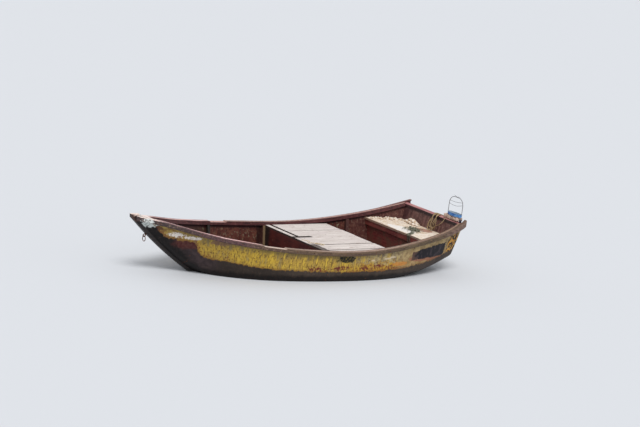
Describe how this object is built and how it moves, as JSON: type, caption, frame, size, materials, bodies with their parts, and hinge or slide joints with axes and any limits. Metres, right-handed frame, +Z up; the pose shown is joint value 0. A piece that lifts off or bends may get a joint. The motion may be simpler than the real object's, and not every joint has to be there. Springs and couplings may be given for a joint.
{
  "type": "rowing boat",
  "caption": "Open wooden rowing boat, worn and repainted, with a raked stem, a covered hold amidships, a stern seat and a narrow transom.",
  "frame": {"origin": "on the waterline, on the centreline, half way along the boat", "axes": "+X points to the bow, +Y to port, +Z up, square to the water"},
  "size_m": [4.288, 1.555, 1.049],
  "materials": {
    "bottom_paint": "worn paint",
    "side_paint": "worn paint",
    "bow_paint": "peeling paint",
    "rail_paint": "worn paint",
    "transom_paint": "worn paint",
    "inside_paint": "worn paint",
    "bare_boards": "weathered",
    "seat_paint": "flaking paint",
    "pad": "matt",
    "basin": "gloss",
    "wire": "dull",
    "knob": "matt",
    "rope": "matt",
    "iron": "rusty"
  },
  "bodies": {
    "root": {"keel": "bottom_paint", "stem": "bow_paint", "garboard_port": "bottom_paint", "garboard_starboard": "bottom_paint", "bilge_plank_port": "bottom_paint", "bilge_plank_starboard": "bottom_paint", "bottom_plank_port": "bottom_paint", "bottom_plank_starboard": "bottom_paint", "topside_plank_port": "side_paint", "topside_plank_starboard": "side_paint", "sheer_plank_port": "side_paint", "sheer_plank_starboard": "side_paint", "rail_port": "rail_paint", "rail_starboard": "rail_paint", "inwale_port": "rail_paint", "inwale_starboard": "rail_paint", "breasthook": "bow_paint", "transom": "transom_paint", "transom_rail": "transom_paint", "side_frames_port": "inside_paint", "side_frames_starboard": "inside_paint", "floor_timbers": "inside_paint", "bottom_boards": "inside_paint", "hold_fore_bulkhead": "inside_paint", "hold_aft_bulkhead": "inside_paint", "hold_beam": "inside_paint", "hold_strip": "bare_boards", "hold_boards": "bare_boards", "stern_seat": "seat_paint", "seat_beam": "inside_paint", "stern_bulkhead": "inside_paint", "seat_cleat": "inside_paint", "stern_pad": "pad", "basin": "basin", "bail": "wire", "stern_knob": "knob", "rope_hank": "rope", "bow_eye": "iron", "bow_ring": "iron"}
  },
  "joints": []
}
